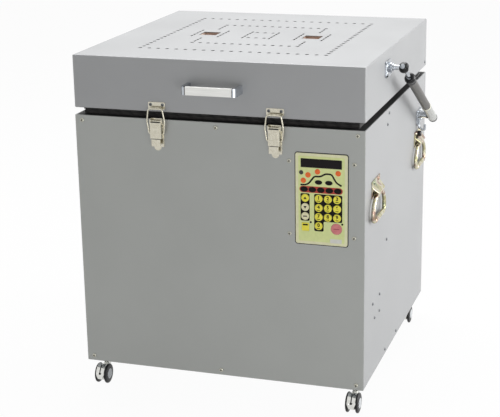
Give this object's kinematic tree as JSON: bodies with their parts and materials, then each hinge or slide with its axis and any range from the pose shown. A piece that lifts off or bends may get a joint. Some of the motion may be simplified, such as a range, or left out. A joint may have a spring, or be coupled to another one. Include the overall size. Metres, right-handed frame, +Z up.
{
  "type": "bead annealing kiln",
  "caption": "Square top-loading annealing kiln on twin-wheel casters, with a hinged slotted lid, draw latches, keypad controller, gas stay and fold-out carry handles.",
  "frame": {"origin": "on the floor below the middle of the casing", "axes": "+Z up, the front with the keypad towards -Y, the gas stay on the +X side"},
  "size_m": [0.6228, 0.619, 0.678],
  "materials": {
    "front_paint": "warm grey powder coat",
    "case_paint": "light grey powder coat",
    "tray_steel": "galvanised sheet",
    "firebrick": "soft insulating firebrick",
    "fibre_board": "pressed ceramic fibre board",
    "element_wire": "oxidised resistance wire",
    "shelf_ceramic": "cordierite",
    "bright_zinc": "bright plated steel",
    "nickel_plate": "pale nickel plate",
    "yellow_zinc": "yellow passivated zinc",
    "keypad_film": "printed polyester film",
    "display_lens": "dark window",
    "control_plastic": "moulded plastic",
    "key_yellow": "embossed film",
    "key_cream": "embossed film",
    "key_pink": "embossed film",
    "seal_black": "woven glass rope",
    "stay_grey": "dark grey paint",
    "tyre_black": "moulded tread"
  },
  "bodies": {
    "kiln_body": {"front_panel": "front_paint", "casing_wrap": "case_paint", "base_tray": "tray_steel", "top_deck": "case_paint", "insulation_board": "fibre_board", "chamber_bricks": "firebrick", "heating_elements": "element_wire", "thermocouple": "shelf_ceramic", "kiln_furniture": "shelf_ceramic", "body_screws": "bright_zinc", "keypad_overlay": "keypad_film", "display_window": "display_lens", "controller_case": "control_plastic", "latch_bases": "nickel_plate", "handle_plates": "yellow_zinc", "stay_body_bracket": "bright_zinc", "hinge_body_leaves": "bright_zinc", "caster_plates": "tray_steel", "body_gasket": "seal_black", "power_inlet": "control_plastic"},
    "lid": {"lid_shell": "case_paint", "lid_insulation": "firebrick", "lid_seal_frame": "seal_black", "lid_handle": "bright_zinc", "latch_keepers": "nickel_plate", "stay_lid_bracket": "bright_zinc", "hinge_lid_leaves": "bright_zinc"},
    "stay_cylinder": {"stay_cylinder": "stay_grey"},
    "stay_rod": {"stay_rod": "bright_zinc"},
    "latch_lever_left": {"latch_lever_left": "nickel_plate"},
    "latch_bail_left": {"latch_bail_left": "nickel_plate"},
    "latch_lever_right": {"latch_lever_right": "nickel_plate"},
    "latch_bail_right": {"latch_bail_right": "nickel_plate"},
    "carry_handle_front_left": {"carry_handle_front_left": "yellow_zinc"},
    "carry_handle_front_right": {"carry_handle_front_right": "yellow_zinc"},
    "carry_handle_rear_left": {"carry_handle_rear_left": "yellow_zinc"},
    "carry_handle_rear_right": {"carry_handle_rear_right": "yellow_zinc"},
    "caster_fork_front_left": {"caster_fork_front_left": "bright_zinc"},
    "caster_wheels_front_left": {"caster_wheels_front_left": "tyre_black"},
    "caster_fork_front_right": {"caster_fork_front_right": "bright_zinc"},
    "caster_wheels_front_right": {"caster_wheels_front_right": "tyre_black"},
    "caster_fork_rear_left": {"caster_fork_rear_left": "bright_zinc"},
    "caster_wheels_rear_left": {"caster_wheels_rear_left": "tyre_black"},
    "caster_fork_rear_right": {"caster_fork_rear_right": "bright_zinc"},
    "caster_wheels_rear_right": {"caster_wheels_rear_right": "tyre_black"},
    "key_1": {"key_1": "key_yellow"},
    "key_2": {"key_2": "key_yellow"},
    "key_3": {"key_3": "key_yellow"},
    "key_4": {"key_4": "key_yellow"},
    "key_5": {"key_5": "key_yellow"},
    "key_6": {"key_6": "key_yellow"},
    "key_7": {"key_7": "key_yellow"},
    "key_8": {"key_8": "key_yellow"},
    "key_9": {"key_9": "key_yellow"},
    "key_0": {"key_0": "key_yellow"},
    "key_column_top": {"key_column_top": "key_yellow"},
    "key_column_middle": {"key_column_middle": "key_cream"},
    "key_column_bottom": {"key_column_bottom": "key_cream"},
    "key_square": {"key_square": "key_yellow"},
    "key_large": {"key_large": "key_pink"}
  },
  "joints": [
    {"name": "lid_hinge", "type": "hinge", "parent": "kiln_body", "child": "lid", "pos_m": [0, 0.291, 0.569], "axis": [-1, 0, 0], "range_deg": [0, 75]},
    {"name": "stay_swing", "type": "hinge", "parent": "kiln_body", "child": "stay_cylinder", "pos_m": [0.315, 0.2, 0.486], "axis": [-1, 0, 0], "range_deg": [0, 72]},
    {"name": "stay_extend", "type": "slide", "parent": "stay_cylinder", "child": "stay_rod", "axis": [0, -0.8841, 0.4672], "range_m": [0, 0.146]},
    {"name": "lever_swing_left", "type": "hinge", "parent": "kiln_body", "child": "latch_lever_left", "pos_m": [-0.116, -0.291, 0.559], "axis": [-1, 0, 0], "range_deg": [0, 140]},
    {"name": "bail_swing_left", "type": "hinge", "parent": "latch_lever_left", "child": "latch_bail_left", "pos_m": [-0.116, -0.291, 0.535], "axis": [-1, 0, 0], "range_deg": [-165, 0]},
    {"name": "lever_swing_right", "type": "hinge", "parent": "kiln_body", "child": "latch_lever_right", "pos_m": [0.116, -0.291, 0.559], "axis": [-1, 0, 0], "range_deg": [0, 140]},
    {"name": "bail_swing_right", "type": "hinge", "parent": "latch_lever_right", "child": "latch_bail_right", "pos_m": [0.116, -0.291, 0.535], "axis": [-1, 0, 0], "range_deg": [-165, 0]},
    {"name": "handle_swing_front_left", "type": "hinge", "parent": "kiln_body", "child": "carry_handle_front_left", "pos_m": [-0.292, -0.2, 0.423], "axis": [0, 1, 0], "range_deg": [0, 90]},
    {"name": "handle_swing_front_right", "type": "hinge", "parent": "kiln_body", "child": "carry_handle_front_right", "pos_m": [0.292, -0.2, 0.423], "axis": [0, -1, 0], "range_deg": [0, 90]},
    {"name": "handle_swing_rear_left", "type": "hinge", "parent": "kiln_body", "child": "carry_handle_rear_left", "pos_m": [-0.292, 0.2, 0.423], "axis": [0, 1, 0], "range_deg": [0, 90]},
    {"name": "handle_swing_rear_right", "type": "hinge", "parent": "kiln_body", "child": "carry_handle_rear_right", "pos_m": [0.292, 0.2, 0.423], "axis": [0, -1, 0], "range_deg": [0, 90]},
    {"name": "swivel_front_left", "type": "hinge", "parent": "kiln_body", "child": "caster_fork_front_left", "pos_m": [-0.261, -0.246, 0.04], "axis": [0, 0, 1], "continuous": true},
    {"name": "wheel_spin_front_left", "type": "hinge", "parent": "caster_fork_front_left", "child": "caster_wheels_front_left", "pos_m": [-0.261, -0.265, 0.02], "axis": [1, 0, 0], "continuous": true},
    {"name": "swivel_front_right", "type": "hinge", "parent": "kiln_body", "child": "caster_fork_front_right", "pos_m": [0.261, -0.246, 0.04], "axis": [0, 0, 1], "continuous": true},
    {"name": "wheel_spin_front_right", "type": "hinge", "parent": "caster_fork_front_right", "child": "caster_wheels_front_right", "pos_m": [0.261, -0.265, 0.02], "axis": [1, 0, 0], "continuous": true},
    {"name": "swivel_rear_left", "type": "hinge", "parent": "kiln_body", "child": "caster_fork_rear_left", "pos_m": [-0.261, 0.246, 0.04], "axis": [0, 0, 1], "continuous": true},
    {"name": "wheel_spin_rear_left", "type": "hinge", "parent": "caster_fork_rear_left", "child": "caster_wheels_rear_left", "pos_m": [-0.261, 0.227, 0.02], "axis": [1, 0, 0], "continuous": true},
    {"name": "swivel_rear_right", "type": "hinge", "parent": "kiln_body", "child": "caster_fork_rear_right", "pos_m": [0.261, 0.246, 0.04], "axis": [0, 0, 1], "continuous": true},
    {"name": "wheel_spin_rear_right", "type": "hinge", "parent": "caster_fork_rear_right", "child": "caster_wheels_rear_right", "pos_m": [0.261, 0.227, 0.02], "axis": [1, 0, 0], "continuous": true},
    {"name": "key_1_press", "type": "slide", "parent": "kiln_body", "child": "key_1", "axis": [0, 1, 0], "range_m": [0, 0.0005], "stiffness_N_per_m": 800},
    {"name": "key_2_press", "type": "slide", "parent": "kiln_body", "child": "key_2", "axis": [0, 1, 0], "range_m": [0, 0.0005], "stiffness_N_per_m": 800},
    {"name": "key_3_press", "type": "slide", "parent": "kiln_body", "child": "key_3", "axis": [0, 1, 0], "range_m": [0, 0.0005], "stiffness_N_per_m": 800},
    {"name": "key_4_press", "type": "slide", "parent": "kiln_body", "child": "key_4", "axis": [0, 1, 0], "range_m": [0, 0.0005], "stiffness_N_per_m": 800},
    {"name": "key_5_press", "type": "slide", "parent": "kiln_body", "child": "key_5", "axis": [0, 1, 0], "range_m": [0, 0.0005], "stiffness_N_per_m": 800},
    {"name": "key_6_press", "type": "slide", "parent": "kiln_body", "child": "key_6", "axis": [0, 1, 0], "range_m": [0, 0.0005], "stiffness_N_per_m": 800},
    {"name": "key_7_press", "type": "slide", "parent": "kiln_body", "child": "key_7", "axis": [0, 1, 0], "range_m": [0, 0.0005], "stiffness_N_per_m": 800},
    {"name": "key_8_press", "type": "slide", "parent": "kiln_body", "child": "key_8", "axis": [0, 1, 0], "range_m": [0, 0.0005], "stiffness_N_per_m": 800},
    {"name": "key_9_press", "type": "slide", "parent": "kiln_body", "child": "key_9", "axis": [0, 1, 0], "range_m": [0, 0.0005], "stiffness_N_per_m": 800},
    {"name": "key_0_press", "type": "slide", "parent": "kiln_body", "child": "key_0", "axis": [0, 1, 0], "range_m": [0, 0.0005], "stiffness_N_per_m": 800},
    {"name": "key_column_top_press", "type": "slide", "parent": "kiln_body", "child": "key_column_top", "axis": [0, 1, 0], "range_m": [0, 0.0005], "stiffness_N_per_m": 800},
    {"name": "key_column_middle_press", "type": "slide", "parent": "kiln_body", "child": "key_column_middle", "axis": [0, 1, 0], "range_m": [0, 0.0005], "stiffness_N_per_m": 800},
    {"name": "key_column_bottom_press", "type": "slide", "parent": "kiln_body", "child": "key_column_bottom", "axis": [0, 1, 0], "range_m": [0, 0.0005], "stiffness_N_per_m": 800},
    {"name": "key_square_press", "type": "slide", "parent": "kiln_body", "child": "key_square", "axis": [0, 1, 0], "range_m": [0, 0.0005], "stiffness_N_per_m": 800},
    {"name": "key_large_press", "type": "slide", "parent": "kiln_body", "child": "key_large", "axis": [0, 1, 0], "range_m": [0, 0.0005], "stiffness_N_per_m": 800}
  ],
  "couplings": [
    {"joint": "stay_swing", "follows": "lid_hinge", "ratio": 0.92773},
    {"joint": "stay_extend", "follows": "lid_hinge", "m_per_rad": 0.11077},
    {"joint": "bail_swing_left", "follows": "lever_swing_left", "ratio": -1.15},
    {"joint": "bail_swing_right", "follows": "lever_swing_right", "ratio": -1.15}
  ]
}
